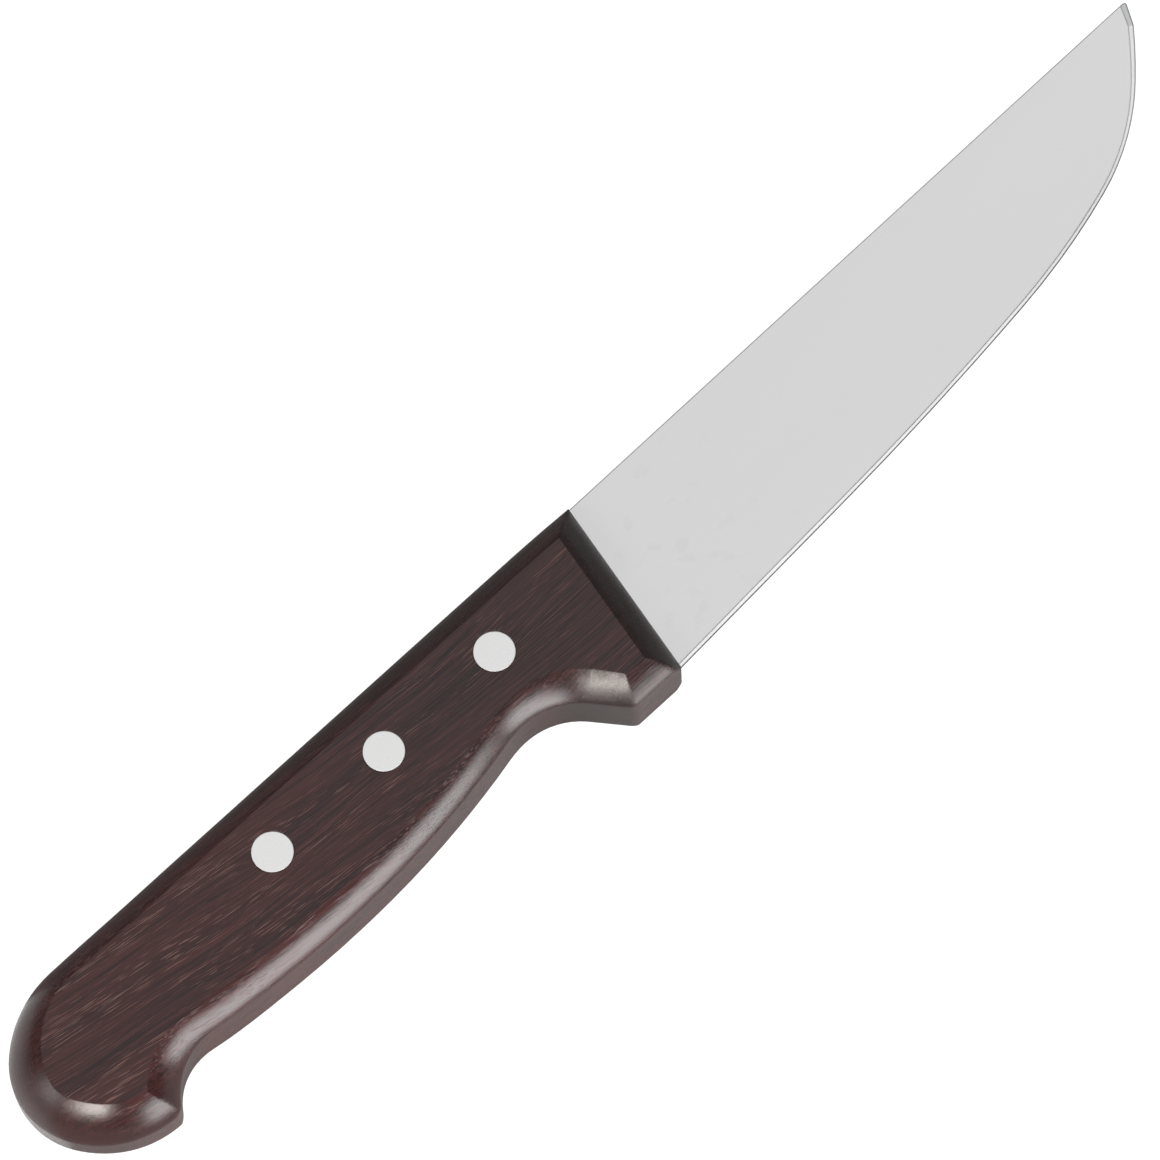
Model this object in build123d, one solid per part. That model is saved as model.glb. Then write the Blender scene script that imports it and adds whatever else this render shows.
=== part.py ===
from build123d import *
from math import cos, radians, sin, tan
import os

# Butcher's knife with a riveted one-piece wooden handle. Millimetres.
# Everything is drawn about the middle rivet: +X runs to the tip, +Y to the spine of the blade and
# +Z through the thickness, with z = 0 in the middle of the blade. main() then lays the knife on its
# side on z = 0, with the origin under the centre of its bounding box.

# ---- driving dimensions: handle ----
HANDLE_THICKNESS = 18.4
SPINE_Y = 12.3              # back of the handle, a straight line flush with the blade's spine
BACK_FALL = (330, 2.4)      # radius and turn of the gentle fall of the back to the front face
FRONT_X = 53.35             # where the front face crosses y = 0
FRONT_LEAN = 9.8            # degrees that the front face leans towards the tip
GUARD_BOTTOM_Y = -23.6
BUTT_START_X = -68.6        # where the back of the handle begins to round off
BUTT_ARCS = [(21.65, 43.6), (15.2, 76.8), (19.7, 55.6)]    # radius and turn of each arc
BEAK_RUN = 1.85             # straight run from the butt to the point of the pommel
HOOK_HEADING = 55           # heading of the wall in front of the pommel's point
HOOK_RUN = 2.0              # straight run up that wall
BELLY_ARCS = [(12.4, -62.5), (232, 10.1), (188, 10.1), (18.65, -12.3), (14.0, -50.4)]
# Depth into the flat side and height of the rounding along the edge, at each joint of a run.
BACK_ROUNDS = [(4.8, 6.2), (4.7, 6.2), (4.7, 6.2), (6.2, 7.4), (5.7, 6.7), (5.1, 6.1), (5.0, 6.1)]
BELLY_ROUNDS = [(5.4, 6.4), (5.4, 6.4), (4.0, 3.9), (3.9, 3.9), (3.9, 3.9), (4.1, 3.9), (5.0, 3.9),
                (4.5, 3.9)]
UNDERSIDE_ROUNDS = [(4.65, 3.4)] * 2
FRONT_ROUNDS = [(5.4, 5.6)] * 2
CREASE_ANGLE = 28           # between the flat side and the start of every rounding
SECTION_SPACING = 12.0      # about how far apart the sections of a rounding stand
BEAK_TIP_ROUND = 3.0        # upright corners of the outline
GUARD_REAR_ROUND = 2.5
FRONT_CORNER_ROUND = 0.4

# ---- driving dimensions: blade ----
BLADE_THICKNESS = 2.2       # at the heel and all along the tang
TIP_THICKNESS = 0.7
TAPER_POWER = 1.4           # above 1 the blade keeps its thickness longer behind the tip
EDGE_THICKNESS = 0.44       # just behind the cutting bevel
EDGE_FLAT = 0.06            # thickness left at the cutting edge itself
BEVEL_WIDTH = 0.7
STEEPEST_GRIND = 0.03       # half thickness gained per millimetre above the edge, at most
EDGE_START = (45.0, -22.9)  # on the line of the cutting edge, inside the handle's front face
EDGE_HEADING = 3.27         # degrees that the straight part of the edge rises
EDGE_STRAIGHT = 47.0
EDGE_ARCS = [(740, 3.85), (149, 10), (48.5, 26.9), (106, 6)]
TIP = (196.1, 13.7)
TIP_ROUND = 0.4

# ---- driving dimensions: tang and rivets ----
TANG_END_X = -37.0
TANG_DEPTH = 20.0           # from the handle's back to the tang's lower edge, at the front
TANG_END_DEPTH = 17.0
TANG_END_RADIUS = 6.0
RIVET_PITCH = 26.5
RIVET_HEAD_D = 7.5
RIVET_HEAD_HEIGHT = 2.4
RIVET_HEAD_CHAMFER = 0.1
RIVET_TUBE_D = 5.0
RIVET_PIN_D = 3.2
PIN_TIP_CHAMFER = 0.4
PIN_END_GAP = 1.0           # empty length of the tube beyond the pin
TANG_HOLE_CLEARANCE = 0.1   # on the radius

HALF = HANDLE_THICKNESS / 2
HALF_STEEL = BLADE_THICKNESS / 2
RIVETS = {"front": RIVET_PITCH, "middle": 0.0, "rear": -RIVET_PITCH}
MARGIN = 1.0                # how far a cutter stands outside what it cuts


def direction(heading):
    return Vector(cos(radians(heading)), sin(radians(heading)))


def front_x(y):
    """X of the handle's leaning front face at a height y."""
    return FRONT_X + y * tan(radians(FRONT_LEAN))


def arc_chain(start, heading, arcs):
    """Tangent arcs one after another; a positive turn is counter-clockwise."""
    chain = []
    for radius, turn in arcs:
        chain.append(JernArc(start, direction(heading), radius, turn))
        start = chain[-1] @ 1
        heading += turn
    return chain


def carried_on(run, extra):
    """A run of tangent edges, carried straight on past both of its ends."""
    start, end = run[0] @ 0, run[-1] @ 1
    return [Line(start - (run[0] % 0) * extra, start), *run, Line(end, end + (run[-1] % 1) * extra)]


def swept_cutter(run, stations):
    """Sweeps along a counter-clockwise run through stations: a part of it, a share of it, a section.

    The local x of a section points out of the outline, and its local y up.
    """
    placed = []
    for part, share, section in stations:
        along = part % share
        placed.append(Plane(origin=part @ share, x_dir=(along.Y, -along.X, 0), z_dir=-along) * make_face(section))
    path = Wire([edge for part in run for edge in part.edges()])
    return sweep(sections=placed, path=path, multisection=True)


def cut_both_sides(body, cutter):
    return body - cutter - mirror(cutter, Plane.XY)


def cylinder_at(x, z, radius, height):
    return Pos(x, 0, z) * Cylinder(radius, height)


# ---- handle ----

def handle_outline():
    """Counter-clockwise tangent runs: back and butt, hook to guard, guard's underside, front face."""
    fall_radius, fall_turn = BACK_FALL
    top_front_y = SPINE_Y - fall_radius * (1 - cos(radians(fall_turn)))
    top_front = (front_x(top_front_y), top_front_y)
    bottom_front = (front_x(GUARD_BOTTOM_Y), GUARD_BOTTOM_Y)
    fall = arc_chain(top_front, 180 - fall_turn, [BACK_FALL])
    back = Line(fall[0] @ 1, (BUTT_START_X, SPINE_Y))
    butt = arc_chain(back @ 1, 180, BUTT_ARCS)
    to_beak = Line(butt[-1] @ 1, butt[-1] @ 1 + (butt[-1] % 1) * BEAK_RUN)
    beak = to_beak @ 1
    from_beak = Line(beak, beak + direction(HOOK_HEADING) * HOOK_RUN)
    belly = arc_chain(from_beak @ 1, HOOK_HEADING, BELLY_ARCS)
    ramp_start, ramp_way = belly[-1] @ 1, belly[-1] % 1
    ramp_length = (GUARD_BOTTOM_Y - ramp_start.Y) / ramp_way.Y
    ramp = Line(ramp_start, ramp_start + ramp_way * ramp_length)
    underside = Line(ramp @ 1, bottom_front)
    front = Line(bottom_front, top_front)
    return [*fall, back, *butt, to_beak], [from_beak, *belly, ramp], [underside], [front]


def side_round_section(depth, height):
    """What a rounding takes off between a flat side and the edge of the handle."""
    arc = TangentArc((-depth, HALF), (0, HALF - height), tangent=direction(-CREASE_ANGLE))
    lead_in = Line(arc @ 0 - (arc % 0) * MARGIN, arc @ 0)
    lead_out = Line(arc @ 1, arc @ 1 + (arc % 1) * MARGIN)
    corner = Polyline(lead_out @ 1, (2 * MARGIN, (lead_out @ 1).Y), (2 * MARGIN, HALF + MARGIN),
                      ((lead_in @ 0).X, HALF + MARGIN), lead_in @ 0)
    return [lead_in, arc, lead_out, corner]


def side_round_cutter(run, rounds):
    """Rounds a run of the outline; rounds holds the depth and height at each of its joints."""
    path = carried_on(run, rounds[0][0] + 2 * MARGIN)
    stations = [(path[0], 0, rounds[0])]
    for part, first, last in zip(run, rounds, rounds[1:]):
        steps = max(1, round(part.length / SECTION_SPACING))
        for step in range(steps):
            share = step / steps
            stations.append((part, share, [a + (b - a) * share for a, b in zip(first, last)]))
    stations += [(path[-1], 0, rounds[-1]), (path[-1], 1, rounds[-1])]
    return swept_cutter(path, [(part, share, side_round_section(*size)) for part, share, size in stations])


def corner_cutter(run_in, run_out, radius):
    """Upright sliver outside an arc that rounds the corner where two runs of the outline meet."""
    corner = run_out[0] @ 0
    back_along, on_along = (run_in[-1] % 1) * -1, run_out[0] % 0
    half_angle = radians(back_along.get_angle(on_along)) / 2
    reach = radius / tan(half_angle)
    inward = (back_along + on_along).normalized()
    start, end = corner + back_along * reach, corner + on_along * reach
    nearest = corner + inward * (radius / sin(half_angle) - radius)
    beyond = Polyline(end, end - inward * MARGIN, corner - inward * MARGIN, start - inward * MARGIN, start)
    return extrude(make_face([ThreePointArc(start, nearest, end), beyond]), amount=HALF, both=True)


def handle():
    back_run, belly_run, underside, front = runs = handle_outline()
    body = extrude(make_face([edge for run in runs for edge in run]), amount=HALF, both=True)
    for run, rounds in zip(runs, (BACK_ROUNDS, BELLY_ROUNDS, UNDERSIDE_ROUNDS, FRONT_ROUNDS)):
        body = cut_both_sides(body, side_round_cutter(run, rounds))
    body -= corner_cutter(back_run, belly_run, BEAK_TIP_ROUND)
    body -= corner_cutter(belly_run, underside, GUARD_REAR_ROUND)
    body -= corner_cutter(underside, front, FRONT_CORNER_ROUND)
    body -= corner_cutter(front, back_run, FRONT_CORNER_ROUND)
    body -= extrude(tang_outline(MARGIN), amount=HALF_STEEL, both=True)
    for x in RIVETS.values():
        body -= cylinder_at(x, 0, RIVET_TUBE_D / 2, HANDLE_THICKNESS)
        for side in (1, -1):
            seat_middle = side * (HALF - RIVET_HEAD_HEIGHT / 2)
            body -= cylinder_at(x, seat_middle, RIVET_HEAD_D / 2, RIVET_HEAD_HEIGHT)
    return body


# ---- blade and tang ----

def tang_outline(overrun=0.0):
    """Side outline of the tang; overrun carries it out of the handle's back and front face."""
    low_rear = Vector(TANG_END_X, SPINE_Y - TANG_END_DEPTH)
    low_front = Vector(front_x(SPINE_Y - TANG_DEPTH), SPINE_Y - TANG_DEPTH)
    low_front += (low_front - low_rear).normalized() * overrun
    top = SPINE_Y + overrun
    top_front = Vector(front_x(top) + overrun, top)
    face = make_face(Polyline(top_front, (TANG_END_X, top), low_rear, low_front, close=True))
    rear_corner = face.vertices().group_by(Axis.X)[0].sort_by(Axis.Y)[0]
    return fillet(rear_corner, TANG_END_RADIUS)


def cutting_edge():
    """Two runs: from inside the handle up the belly, then the short straight up to the tip."""
    straight = Line(EDGE_START, Vector(*EDGE_START) + direction(EDGE_HEADING) * EDGE_STRAIGHT)
    belly = arc_chain(straight @ 1, EDGE_HEADING, EDGE_ARCS)
    return [straight, *belly], [Line(belly[-1] @ 1, TIP)]


def blade_outline():
    belly_run, tip_run = cutting_edge()
    spine_heel = (front_x(SPINE_Y), SPINE_Y)
    closing = Polyline(TIP, spine_heel, (EDGE_START[0], SPINE_Y), EDGE_START)
    face = make_face([*belly_run, *tip_run, closing])
    tip_corner = face.vertices().sort_by(Axis.X)[-1]
    return fillet(tip_corner, TIP_ROUND)


def edge_y_at(x):
    """Height of the cutting edge at x, found by halving along it."""
    edge = Wire([piece for run in cutting_edge() for part in run for piece in part.edges()])
    low, high = 0.0, 1.0
    for _ in range(30):
        middle = (low + high) / 2
        if (edge @ middle).X < x:
            low = middle
        else:
            high = middle
    return (edge @ low).Y


def grind_section(share):
    """Wedge-shaped cross-section at a share of the blade's length, taller than the blade."""
    heel_x = front_x(SPINE_Y)
    x = heel_x + share * (TIP[0] - heel_x)
    edge_y = edge_y_at(min(max(x, EDGE_START[0]), TIP[0]))
    spine_y = SPINE_Y + share * (TIP[1] - SPINE_Y)
    at_spine = HALF_STEEL - (HALF_STEEL - TIP_THICKNESS / 2) * max(share, 0.0) ** TAPER_POWER
    grind = min((at_spine - EDGE_THICKNESS / 2) / max(spine_y - edge_y, MARGIN), STEEPEST_GRIND)
    top, bottom = spine_y + 2 * MARGIN, edge_y - 2 * MARGIN
    wide = at_spine + grind * (top - spine_y)
    narrow = at_spine - grind * (spine_y - bottom)
    plane = Plane(origin=(x, 0, 0), x_dir=(0, 1, 0), z_dir=(1, 0, 0))
    wedge = Polyline((top, wide), (top, -wide), (bottom, -narrow), (bottom, narrow), close=True)
    return plane * make_face(wedge)


def bevel_section():
    """What the cutting bevel takes off one side, from the edge inwards."""
    rise = (EDGE_THICKNESS - EDGE_FLAT) / 2 / BEVEL_WIDTH
    level = EDGE_FLAT / 2
    inward = -(HALF_STEEL + MARGIN / 2 - level) / rise
    top = HALF_STEEL + MARGIN / 2
    return [Polyline((MARGIN, level - MARGIN * rise), (inward, top), (MARGIN, top), close=True)]


def blade():
    plate = extrude(blade_outline(), amount=HALF_STEEL, both=True)
    body = plate & loft([grind_section(share) for share in (-0.08, 0.0, 0.3, 0.55, 0.75, 0.9, 1.02)])
    for run in cutting_edge():
        path = carried_on(run, 4 * MARGIN)
        stations = [(part, 0, bevel_section()) for part in path] + [(path[-1], 1, bevel_section())]
        body = cut_both_sides(body, swept_cutter(path, stations))
    below, above = GUARD_BOTTOM_Y - MARGIN, SPINE_Y + 2 * MARGIN
    behind = Polyline((front_x(below), below), (front_x(above), above), (0, above), (0, below), close=True)
    body -= extrude(make_face(behind), amount=HALF, both=True)
    body += extrude(tang_outline(), amount=HALF_STEEL, both=True)
    for x in RIVETS.values():
        body -= cylinder_at(x, 0, RIVET_TUBE_D / 2 + TANG_HOLE_CLEARANCE, HANDLE_THICKNESS)
    return body


# ---- two-part rivets ----

def rivet_head():
    """Head of either half, its outer face on z = 0 and its shank side towards +z."""
    head = extrude(Circle(RIVET_HEAD_D / 2), amount=RIVET_HEAD_HEIGHT)
    return chamfer(head.edges().group_by(Axis.Z)[0], RIVET_HEAD_CHAMFER)


def rivet_tube():
    """Half with the hollow shank, which reaches the underside of the other half's head."""
    length = HANDLE_THICKNESS - 2 * RIVET_HEAD_HEIGHT
    bore_depth = length - PIN_END_GAP
    body = rivet_head() + Pos(0, 0, RIVET_HEAD_HEIGHT) * extrude(Circle(RIVET_TUBE_D / 2), amount=length)
    bore_floor = RIVET_HEAD_HEIGHT + length - bore_depth
    body -= Pos(0, 0, bore_floor) * extrude(Circle(RIVET_PIN_D / 2), amount=bore_depth)
    return Pos(0, 0, -HALF) * body


def rivet_pin():
    """Half with the solid shank, pressed into the tube."""
    length = HANDLE_THICKNESS - 2 * RIVET_HEAD_HEIGHT - 2 * PIN_END_GAP
    shank = extrude(Circle(RIVET_PIN_D / 2), amount=length)
    shank = chamfer(shank.edges().group_by(Axis.Z)[-1], PIN_TIP_CHAMFER)
    body = rivet_head() + Pos(0, 0, RIVET_HEAD_HEIGHT) * shank
    return Pos(0, 0, HALF) * Rot(180, 0, 0) * body


def main():
    pieces = {"blade": blade(), "handle": handle()}
    for name, x in RIVETS.items():
        pieces[name + "_rivet_tube"] = Pos(x, 0, 0) * rivet_tube()
        pieces[name + "_rivet_pin"] = Pos(x, 0, 0) * rivet_pin()
    blade_box, handle_box = pieces["blade"].bounding_box(), pieces["handle"].bounding_box()
    middle_x = (handle_box.min.X + blade_box.max.X) / 2
    middle_y = (handle_box.min.Y + blade_box.max.Y) / 2
    os.makedirs("parts", exist_ok=True)
    for name, piece in pieces.items():
        export_step(Pos(-middle_x, -middle_y, HALF) * piece, f"parts/{name}.step")


main()
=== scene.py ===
import math

import bpy
from mathutils import Matrix, Vector


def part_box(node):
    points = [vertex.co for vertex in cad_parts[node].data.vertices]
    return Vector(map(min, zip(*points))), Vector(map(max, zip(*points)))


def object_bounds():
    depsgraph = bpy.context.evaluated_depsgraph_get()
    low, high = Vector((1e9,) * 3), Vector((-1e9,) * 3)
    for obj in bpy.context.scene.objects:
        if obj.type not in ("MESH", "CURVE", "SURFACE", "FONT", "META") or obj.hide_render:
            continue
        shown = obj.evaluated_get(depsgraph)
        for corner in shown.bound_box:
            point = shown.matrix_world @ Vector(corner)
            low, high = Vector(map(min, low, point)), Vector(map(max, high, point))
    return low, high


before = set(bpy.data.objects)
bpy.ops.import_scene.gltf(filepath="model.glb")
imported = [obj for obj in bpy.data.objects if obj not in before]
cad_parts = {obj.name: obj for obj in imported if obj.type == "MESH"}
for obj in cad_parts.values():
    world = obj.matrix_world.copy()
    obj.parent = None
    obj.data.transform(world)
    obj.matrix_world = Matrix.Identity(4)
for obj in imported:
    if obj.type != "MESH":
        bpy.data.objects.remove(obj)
cad_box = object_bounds()

MM = 0.001

# the photo's view, worked out from the ellipses of the round rivets
CAMERA_TILT = 19.58  # degrees away from straight above
CAMERA_AZIMUTH = -129.63  # degrees from +X, the side that the tilt leans to
CAMERA_ROLL = -45.43  # degrees, from a view with the spine on top
CAMERA_DISTANCE = 1.435  # metres
CAMERA_TARGET = (48.50, 1.73, 0)  # millimetres from the middle rivet
CAMERA_LENS, CAMERA_SENSOR = 251.96, 36.0  # millimetres
CAMERA_CLIP = (0.05, 50)  # metres

# the table and the cards on it, each a hair below the knife; the cards are painted shade that only
# the knife's reflections see
TABLE_REACH = 6.0  # metres each way
TABLE_GAP, CARD_GAP = 0.1 * MM, 0.05 * MM
TABLE_GREY, TABLE_GLOW = 0.12, 0.97
NEAR_SHADE_CARD_GREY, FAR_SHADE_CARD_GREY = 0.42, 0.18
WORLD_STRENGTH = 0.2

# each light's name, direction from the knife, distance, width and height in metres, radiance, tint
WHITE = (1, 1, 1)
LIGHTS = (
    ("top", (0.21, 0.26, 0.94), 1.8, (1.9, 1.9), 0.66, WHITE),
    ("heel_light", (0.25, -0.32, 0.92), 1.6, (0.5, 0.5), 1.25, WHITE),
    ("belly_light", (0.62, -0.08, 0.78), 1.6, (0.55, 0.55), 1.25, WHITE),
    ("low_side", (-0.045, -0.30, 0.072), 0.31, (0.30, 0.155), 10.5, WHITE),
    ("left", (-0.8, 0.25, 0.5), 1.4, (0.7, 1.0), 4.0, WHITE),
    ("key", (-0.70, -0.39, 0.60), 1.6, (0.40, 0.40), 36.0, (1.0, 0.96, 0.90)),
)

# how far the wood's shading is rounded at its creases: by the first radius everywhere, and by the
# second on top of it near the wall, which sets in between two heights over the middle plane
CREASE_SOFTNESS = 0.35 * MM
WALL_SOFTNESS = 1.5 * MM
SIDE_HEIGHT, WALL_HEIGHT = 8.6, 6.8  # millimetres

# sockets of the Mix node for colours
MIX_SHARE, MIX_A, MIX_B, MIX_RESULT = 0, 6, 7, 2


# ---------------------------------------------------------------- node helpers

class Graph:
    """Builds the node tree of one material."""

    def __init__(self, name):
        self.material = bpy.data.materials.new(name)
        self.material.use_nodes = True
        self.tree = self.material.node_tree
        self.tree.nodes.clear()

    def node(self, kind, inputs=None, **settings):
        made = self.tree.nodes.new(kind)
        for key, value in settings.items():
            setattr(made, key, value)
        for key, value in (inputs or {}).items():
            self.put(made.inputs[key], value)
        return made

    def put(self, socket, value):
        if isinstance(value, bpy.types.NodeSocket):
            self.tree.links.new(value, socket)
        else:
            socket.default_value = value

    def math(self, operation, a, b=0.0, c=0.0):
        made = self.node("ShaderNodeMath", operation=operation)
        for socket, value in zip(made.inputs, (a, b, c)):
            self.put(socket, value)
        return made.outputs[0]

    def remap(self, value, low, high, to_low=0.0, to_high=1.0):
        """A smooth step from to_low at low to to_high at high."""
        made = self.node("ShaderNodeMapRange", interpolation_type="SMOOTHSTEP", clamp=True)
        for socket, v in zip(made.inputs, (value, low, high, to_low, to_high)):
            self.put(socket, v)
        return made.outputs[0]

    def faded(self, value, mask, share):
        """The value, less a share of itself where the mask is 1."""
        return self.math("MULTIPLY", value, self.math("MULTIPLY_ADD", mask, -share, 1.0))

    def noise(self, parts, scale, offset=(0.0, 0.0, 0.0), detail=2.0, roughness=0.5):
        """Noise over three coordinate sockets in millimetres, each times its own scale."""
        scaled = [self.math("MULTIPLY_ADD", p, s, o) for p, s, o in zip(parts, scale, offset)]
        vector = self.node("ShaderNodeCombineXYZ", dict(zip("XYZ", scaled))).outputs[0]
        settings = {"Vector": vector, "Scale": 1.0, "Detail": detail, "Roughness": roughness}
        return self.node("ShaderNodeTexNoise", settings).outputs["Fac"]

    def mix(self, share, a, b):
        made = self.node("ShaderNodeMix", data_type="RGBA")
        self.put(made.inputs[MIX_SHARE], share)
        self.put(made.inputs[MIX_A], a)
        self.put(made.inputs[MIX_B], b)
        return made.outputs[MIX_RESULT]

    def painted(self, base, mask, share, tone):
        """The base colour with a share of the tone where the mask is 1."""
        return self.mix(self.math("MULTIPLY", mask, share), base, tone)

    def bump(self, height, distance, strength, normal=None):
        inputs = {"Height": height, "Distance": distance, "Strength": strength}
        made = self.node("ShaderNodeBump", inputs)
        if normal is not None:
            self.put(made.inputs["Normal"], normal)
        return made.outputs[0]

    def position(self, origin):
        """Object coordinates in millimetres from origin, as three sockets."""
        coordinates = self.node("ShaderNodeTexCoord").outputs["Object"]
        split = self.node("ShaderNodeSeparateXYZ", {"Vector": coordinates})
        return [self.math("MULTIPLY_ADD", split.outputs[i], 1 / MM, -origin[i] / MM)
                for i in range(3)]

    def softened(self, z):
        """Normal with the flat sides' creases broken and the wall run on into the rounding."""
        below = self.remap(self.math("ABSOLUTE", z), SIDE_HEIGHT, WALL_HEIGHT)
        radius = self.math("MULTIPLY_ADD", below, WALL_SOFTNESS, CREASE_SOFTNESS)
        return self.node("ShaderNodeBevel", {"Radius": radius}, samples=6).outputs[0]

    def leans(self):
        """How much the surface faces along X (end grain) and along Z (flat sides), 0 to 1."""
        normal = self.node("ShaderNodeTexCoord").outputs["Normal"]
        split = self.node("ShaderNodeSeparateXYZ", {"Vector": normal})
        return self.math("ABSOLUTE", split.outputs[0]), self.math("ABSOLUTE", split.outputs[2])

    def creases(self, radius):
        """1 on the edges between faces, 0 a radius away from them."""
        parallel, apart = 0.9999, 0.997  # cosines between the rounded and the straight normal
        rounded = self.node("ShaderNodeBevel", {"Radius": radius}, samples=8).outputs[0]
        straight = self.node("ShaderNodeNewGeometry").outputs["Normal"]
        product = self.node(
            "ShaderNodeVectorMath", {0: rounded, 1: straight}, operation="DOT_PRODUCT")
        return self.remap(product.outputs["Value"], parallel, apart)

    def surface(self, inputs):
        shader = self.node("ShaderNodeBsdfPrincipled", inputs)
        self.node("ShaderNodeOutputMaterial", {"Surface": shader.outputs[0]})


def colour(red, green, blue):
    """Linear colour from 8-bit sRGB values."""
    def linear(v):
        v /= 255
        return v / 12.92 if v <= 0.04045 else ((v + 0.055) / 1.055) ** 2.4
    return (linear(red), linear(green), linear(blue), 1.0)


# ---------------------------------------------------------------- materials
# All of them are laid out in millimetres from the middle rivet, on the handle's middle plane.

low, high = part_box("middle_rivet_tube")
rivet_origin = Vector((
    (low.x + high.x) / 2,
    (low.y + high.y) / 2,
    (cad_box[0].z + cad_box[1].z) / 2,
))


def grain_lines(g, x, y, z):
    """Coordinates along the grain, which bends with the handle, sways and sinks into it."""
    middle, slope, bend = 20.0, 0.03, -0.00082
    sway_across, sway_down = 5.0, -3.0
    along = g.math("SUBTRACT", x, middle)
    rise = g.math("MULTIPLY", along, slope)
    curve = g.math("MULTIPLY", g.math("MULTIPLY", along, along), bend)
    across = g.math("ADD", y, g.math("ADD", rise, curve))
    sway = g.noise((x, y, z), (0.02, 0.07, 0.07), detail=1.0)
    across = g.math("MULTIPLY_ADD", sway, sway_across, across)
    depth = g.math("MULTIPLY_ADD", sway, sway_down, z)
    return x, across, depth


def rosewood():
    g = Graph("rosewood")
    x, y, z = g.position(rivet_origin)
    grain = grain_lines(g, x, y, z)

    # from broad bands to single pores
    bands = g.noise(grain, (0.010, 0.42, 0.20))
    veins = g.noise(grain, (0.016, 1.7, 1.1), (2.0, 8.0, 5.0), roughness=0.6)
    streaks = g.noise(grain, (0.03, 2.6, 2.0), detail=3.0, roughness=0.6)
    fibres = g.noise(grain, (0.10, 7.5, 7.0), roughness=0.6)
    pore_field = g.noise(grain, (0.15, 5.6, 5.6), (7.0, 3.0, 1.0), detail=1.0)
    pore_zones = g.remap(g.noise(grain, (0.02, 0.25, 0.25), (1.0, 6.0, 2.0)), 0.40, 0.62)
    grit = g.noise((x, y, z), (6.0, 6.0, 6.0))

    # the wood is greyer towards the blade, and its end grain shows where it faces along X; the
    # darker end tone there is partly the end grain's own colour and partly painted shade
    greyer = g.remap(x, -40.0, 25.0)
    lean_x, lean_z = g.leans()
    end_grain = g.remap(lean_x, 0.25, 0.7)

    # pores lie in zones, and show less on end grain, on the roundings and towards the blade
    density = g.math("MULTIPLY_ADD", pore_zones, 0.75, 0.25)
    pores = g.math("MULTIPLY", g.remap(pore_field, 0.58, 0.70), density)
    pores = g.faded(pores, g.remap(lean_x, 0.15, 0.45), 0.9)
    pores = g.math("MULTIPLY", pores, g.remap(lean_z, 0.75, 0.97, 0.35, 1.0))
    pores = g.faded(pores, greyer, 0.45)

    dark = g.mix(greyer, colour(37, 16, 17), colour(28, 18, 18))
    light = g.mix(greyer, colour(50, 23, 23), colour(37, 22, 22))
    # the end grain's own darker tone, and in part painted shade on the faces that look along X
    end_grain_and_shade_tone = g.mix(greyer, colour(40, 12, 9), colour(20, 16, 16))
    base = g.mix(g.remap(bands, 0.36, 0.60), dark, light)
    base = g.painted(base, g.remap(streaks, 0.42, 0.68), 0.5, colour(67, 38, 36))
    base = g.painted(base, g.remap(veins, 0.52, 0.66), 0.75, colour(18, 12, 13))
    base = g.painted(base, g.remap(fibres, 0.45, 0.75), 0.25, colour(76, 48, 44))
    base = g.painted(base, pores, 0.5, colour(130, 96, 88))
    base = g.painted(base, end_grain, 0.6, end_grain_and_shade_tone)

    # fibres stand up, pores are pits, end grain is gritty
    height = g.math("MULTIPLY_ADD", fibres, 0.35, g.math("MULTIPLY", pores, -1.0))
    height = g.math("MULTIPLY_ADD", g.math("MULTIPLY", end_grain, grit), 1.1, height)
    rough = g.math("MULTIPLY_ADD", streaks, 0.10, 0.19)
    rough = g.math("MULTIPLY_ADD", pores, 0.25, rough)
    g.surface({
        "Base Color": base,
        "Roughness": rough,
        "IOR": 1.45,
        "Normal": g.bump(height, 0.06 * MM, 0.7, g.softened(z)),
    })
    return g.material


def satin_steel():
    g = Graph("satin_steel")
    clean, smudged = (0.765, 0.765, 0.77, 1), (0.67, 0.66, 0.67, 1)
    # painted shade: the dark tone laid along the creases of the ground faces
    crease_shade_colour = (0.10, 0.10, 0.10, 1)
    place = g.position(rivet_origin)
    x, y, _ = place
    lines = g.noise(place, (14.0, 0.35, 0.35), detail=3.0, roughness=0.7)
    cloud = g.noise(place, (0.06, 0.1, 0.1), detail=3.0)

    # faint smudges near the handle
    smudge = g.remap(g.noise(place, (0.22, 0.3, 0.3), (4.0, 2.0, 0.0), detail=4.0), 0.56, 0.68)
    near_handle = g.remap(x, 95.0, 60.0)
    tone = g.painted(clean, g.math("MULTIPLY", smudge, near_handle), 0.25, smudged)
    # painted shade: a dark line where two ground faces meet, standing in for the dark reflection
    # along their crease, stronger along the cutting edge than along the spine
    crease_shade = g.math("MULTIPLY", g.creases(0.3 * MM), g.remap(y, -6.0, -12.0, 0.75, 0.95))
    tone = g.mix(crease_shade, tone, crease_shade_colour)

    rough = g.math("MULTIPLY_ADD", cloud, 0.10, 0.24)
    rough = g.math("MULTIPLY_ADD", lines, 0.05, rough)
    g.surface({
        "Base Color": tone,
        "Metallic": 1.0,
        "Roughness": rough,
        "Anisotropic": 0.3,
        "Normal": g.bump(lines, 0.002 * MM, 0.5),
    })
    return g.material


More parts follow.
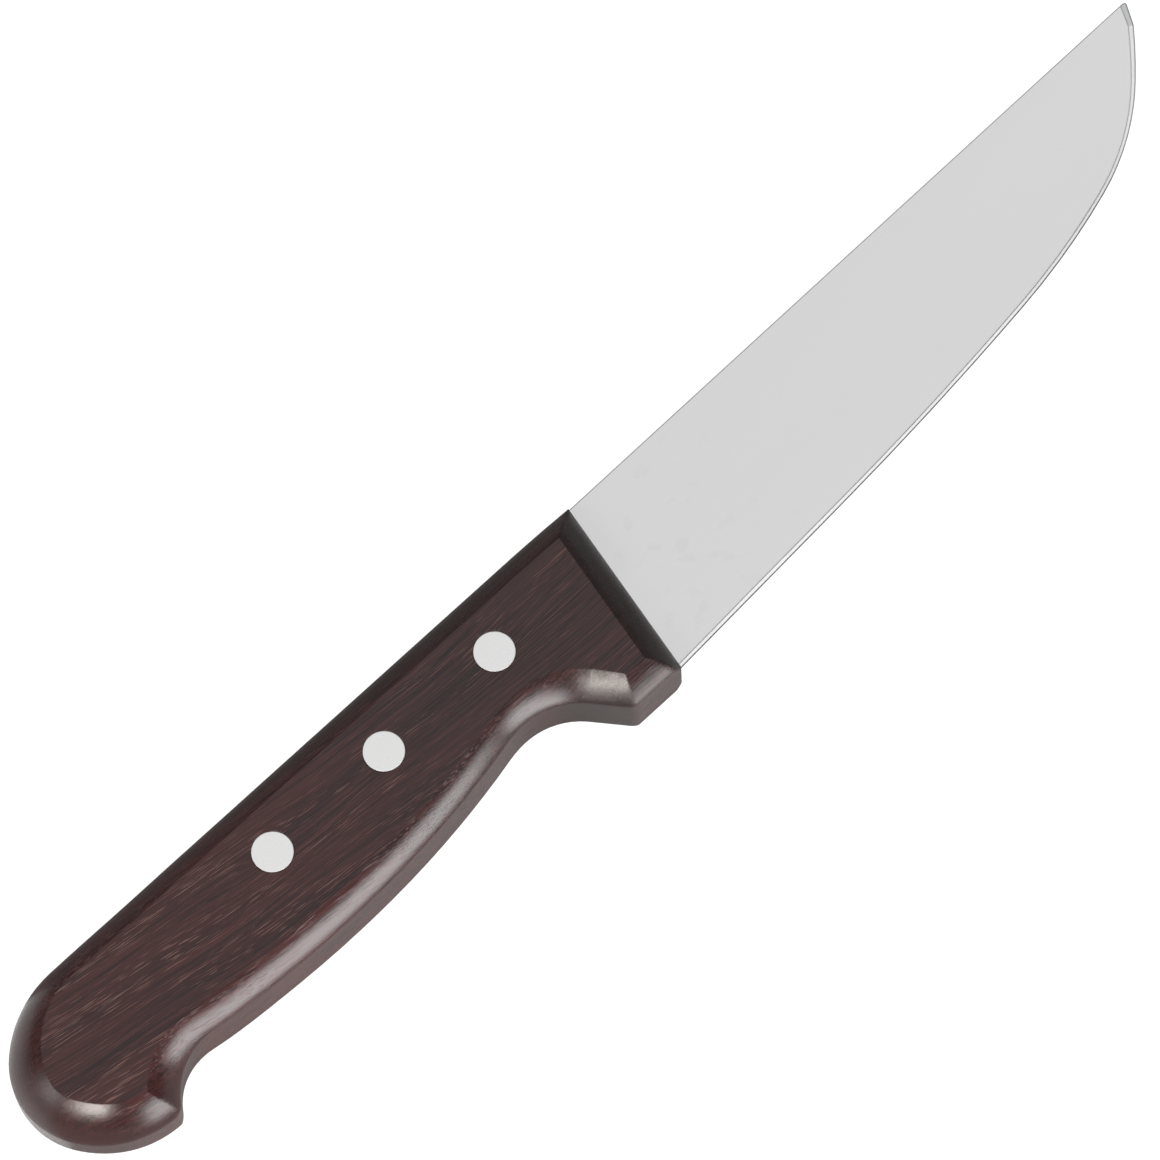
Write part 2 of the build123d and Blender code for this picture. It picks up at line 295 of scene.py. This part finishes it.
def matt_aluminium():
    g = Graph("matt_aluminium")
    dull, bright = (0.63, 0.635, 0.64, 1), (0.71, 0.715, 0.725, 1)
    place = g.position(rivet_origin)
    ground = g.noise(place, (1.2, 9.0, 3.0), detail=3.0, roughness=0.7)
    grit = g.noise(place, (5.0, 5.0, 5.0))
    g.surface({
        "Base Color": g.mix(g.remap(grit, 0.3, 0.7), dull, bright),
        "Metallic": 0.5,
        "Roughness": g.math("MULTIPLY_ADD", grit, 0.1, 0.42),
        "Normal": g.bump(ground, 0.004 * MM, 0.5),
    })
    return g.material


def dress(node, material):
    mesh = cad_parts[node].data
    mesh.materials.clear()
    mesh.materials.append(material)


materials = {"handle": rosewood(), "blade": satin_steel()}
rivet_metal = matt_aluminium()
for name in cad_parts:
    dress(name, materials.get(name, rivet_metal))


# ---------------------------------------------------------------- floor, light and camera

def sheet(name, low, high, height, material):
    """A flat rectangle between two corners, linked into the scene."""
    (left, near), (right, far) = low, high
    corners = [(left, near, 0), (right, near, 0), (right, far, 0), (left, far, 0)]
    mesh = bpy.data.meshes.new(name)
    mesh.from_pydata(corners, [], [(0, 1, 2, 3)])
    mesh.materials.append(material)
    made = bpy.data.objects.new(name, mesh)
    made.location.z = height
    bpy.context.scene.collection.objects.link(made)
    return made


def floor():
    """A white table that gives light itself, so that nothing on it throws a shadow to be seen."""
    g = Graph("white_table")
    g.surface({
        "Base Color": (TABLE_GREY, TABLE_GREY, TABLE_GREY, 1),
        "Roughness": 0.18,
        "IOR": 1.5,
        "Emission Color": (1, 1, 1, 1),
        "Emission Strength": TABLE_GLOW,
    })
    low, high = (-TABLE_REACH, -TABLE_REACH), (TABLE_REACH, TABLE_REACH)
    made = sheet("floor", low, high, cad_box[0].z - TABLE_GAP, g.material)


def softbox(name, towards, distance, size, radiance, tint):
    """A rectangular area light at a distance in a direction from the knife, facing it."""
    light = bpy.data.lights.new(name, "AREA")
    light.shape = "RECTANGLE"
    light.size, light.size_y = size
    light.energy = radiance * math.pi * size[0] * size[1]
    light.color = tint
    made = bpy.data.objects.new(name, light)
    way = Vector(towards).normalized()
    made.location = way * distance
    made.rotation_mode = "QUATERNION"
    made.rotation_quaternion = way.to_track_quat("Z", "Y")
    made.visible_camera = False
    bpy.context.scene.collection.objects.link(made)


def shade_card(name, low, high, grey):
    """A card flat on the table that only reflections see, painted shade in place of the table's
    shadow beside the knife.
    """
    g = Graph(name)
    g.surface({"Base Color": (grey, grey, grey, 1), "Roughness": 1.0})
    made = sheet(name, low, high, cad_box[0].z - CARD_GAP, g.material)
    made.visible_camera = False
    made.visible_shadow = False


def studio():
    world = bpy.data.worlds.new("studio")
    world.use_nodes = True
    background = world.node_tree.nodes["Background"]
    background.inputs["Color"].default_value = (1, 1, 1, 1)
    background.inputs["Strength"].default_value = WORLD_STRENGTH
    bpy.context.scene.world = world
    bpy.context.scene.view_settings.view_transform = "Standard"
    for light in LIGHTS:
        softbox(*light)
    # painted shade: cards beside the knife that its steep sides mirror in place of the table,
    # standing in for the shadow that the knife throws on it; set in metres from the corners of the
    # handle's box
    low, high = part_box("handle")
    near = (low.x - 0.05, low.y - 0.06), (high.x + 0.02, low.y + 0.012)
    far = (low.x + 0.014, high.y - 0.015), (high.x + 0.10, high.y + 0.40)
    shade_card("near_shade_card", *near, NEAR_SHADE_CARD_GREY)
    shade_card("far_shade_card", *far, FAR_SHADE_CARD_GREY)


def camera():
    tilt, azimuth, roll = map(math.radians, (CAMERA_TILT, CAMERA_AZIMUTH, CAMERA_ROLL))
    target = rivet_origin + Vector(CAMERA_TARGET) * MM
    level = math.sin(tilt)
    back = Vector((level * math.cos(azimuth), level * math.sin(azimuth), math.cos(tilt)))
    # the view before its roll has the knife's +Y on top
    up0 = Vector((0, 1, 0))
    up0 = (up0 - back * up0.dot(back)).normalized()
    right0 = (-back).cross(up0)
    right = right0 * math.cos(roll) + up0 * math.sin(roll)
    up = up0 * math.cos(roll) - right0 * math.sin(roll)
    data = bpy.data.cameras.new("camera")
    data.sensor_width = CAMERA_SENSOR
    data.lens = CAMERA_LENS
    data.clip_start, data.clip_end = CAMERA_CLIP
    made = bpy.data.objects.new("camera", data)
    turn = Matrix((right, up, back)).transposed().to_4x4()
    made.matrix_world = Matrix.Translation(target + back * CAMERA_DISTANCE) @ turn
    bpy.context.scene.collection.objects.link(made)
    bpy.context.scene.camera = made


floor()
studio()
camera()
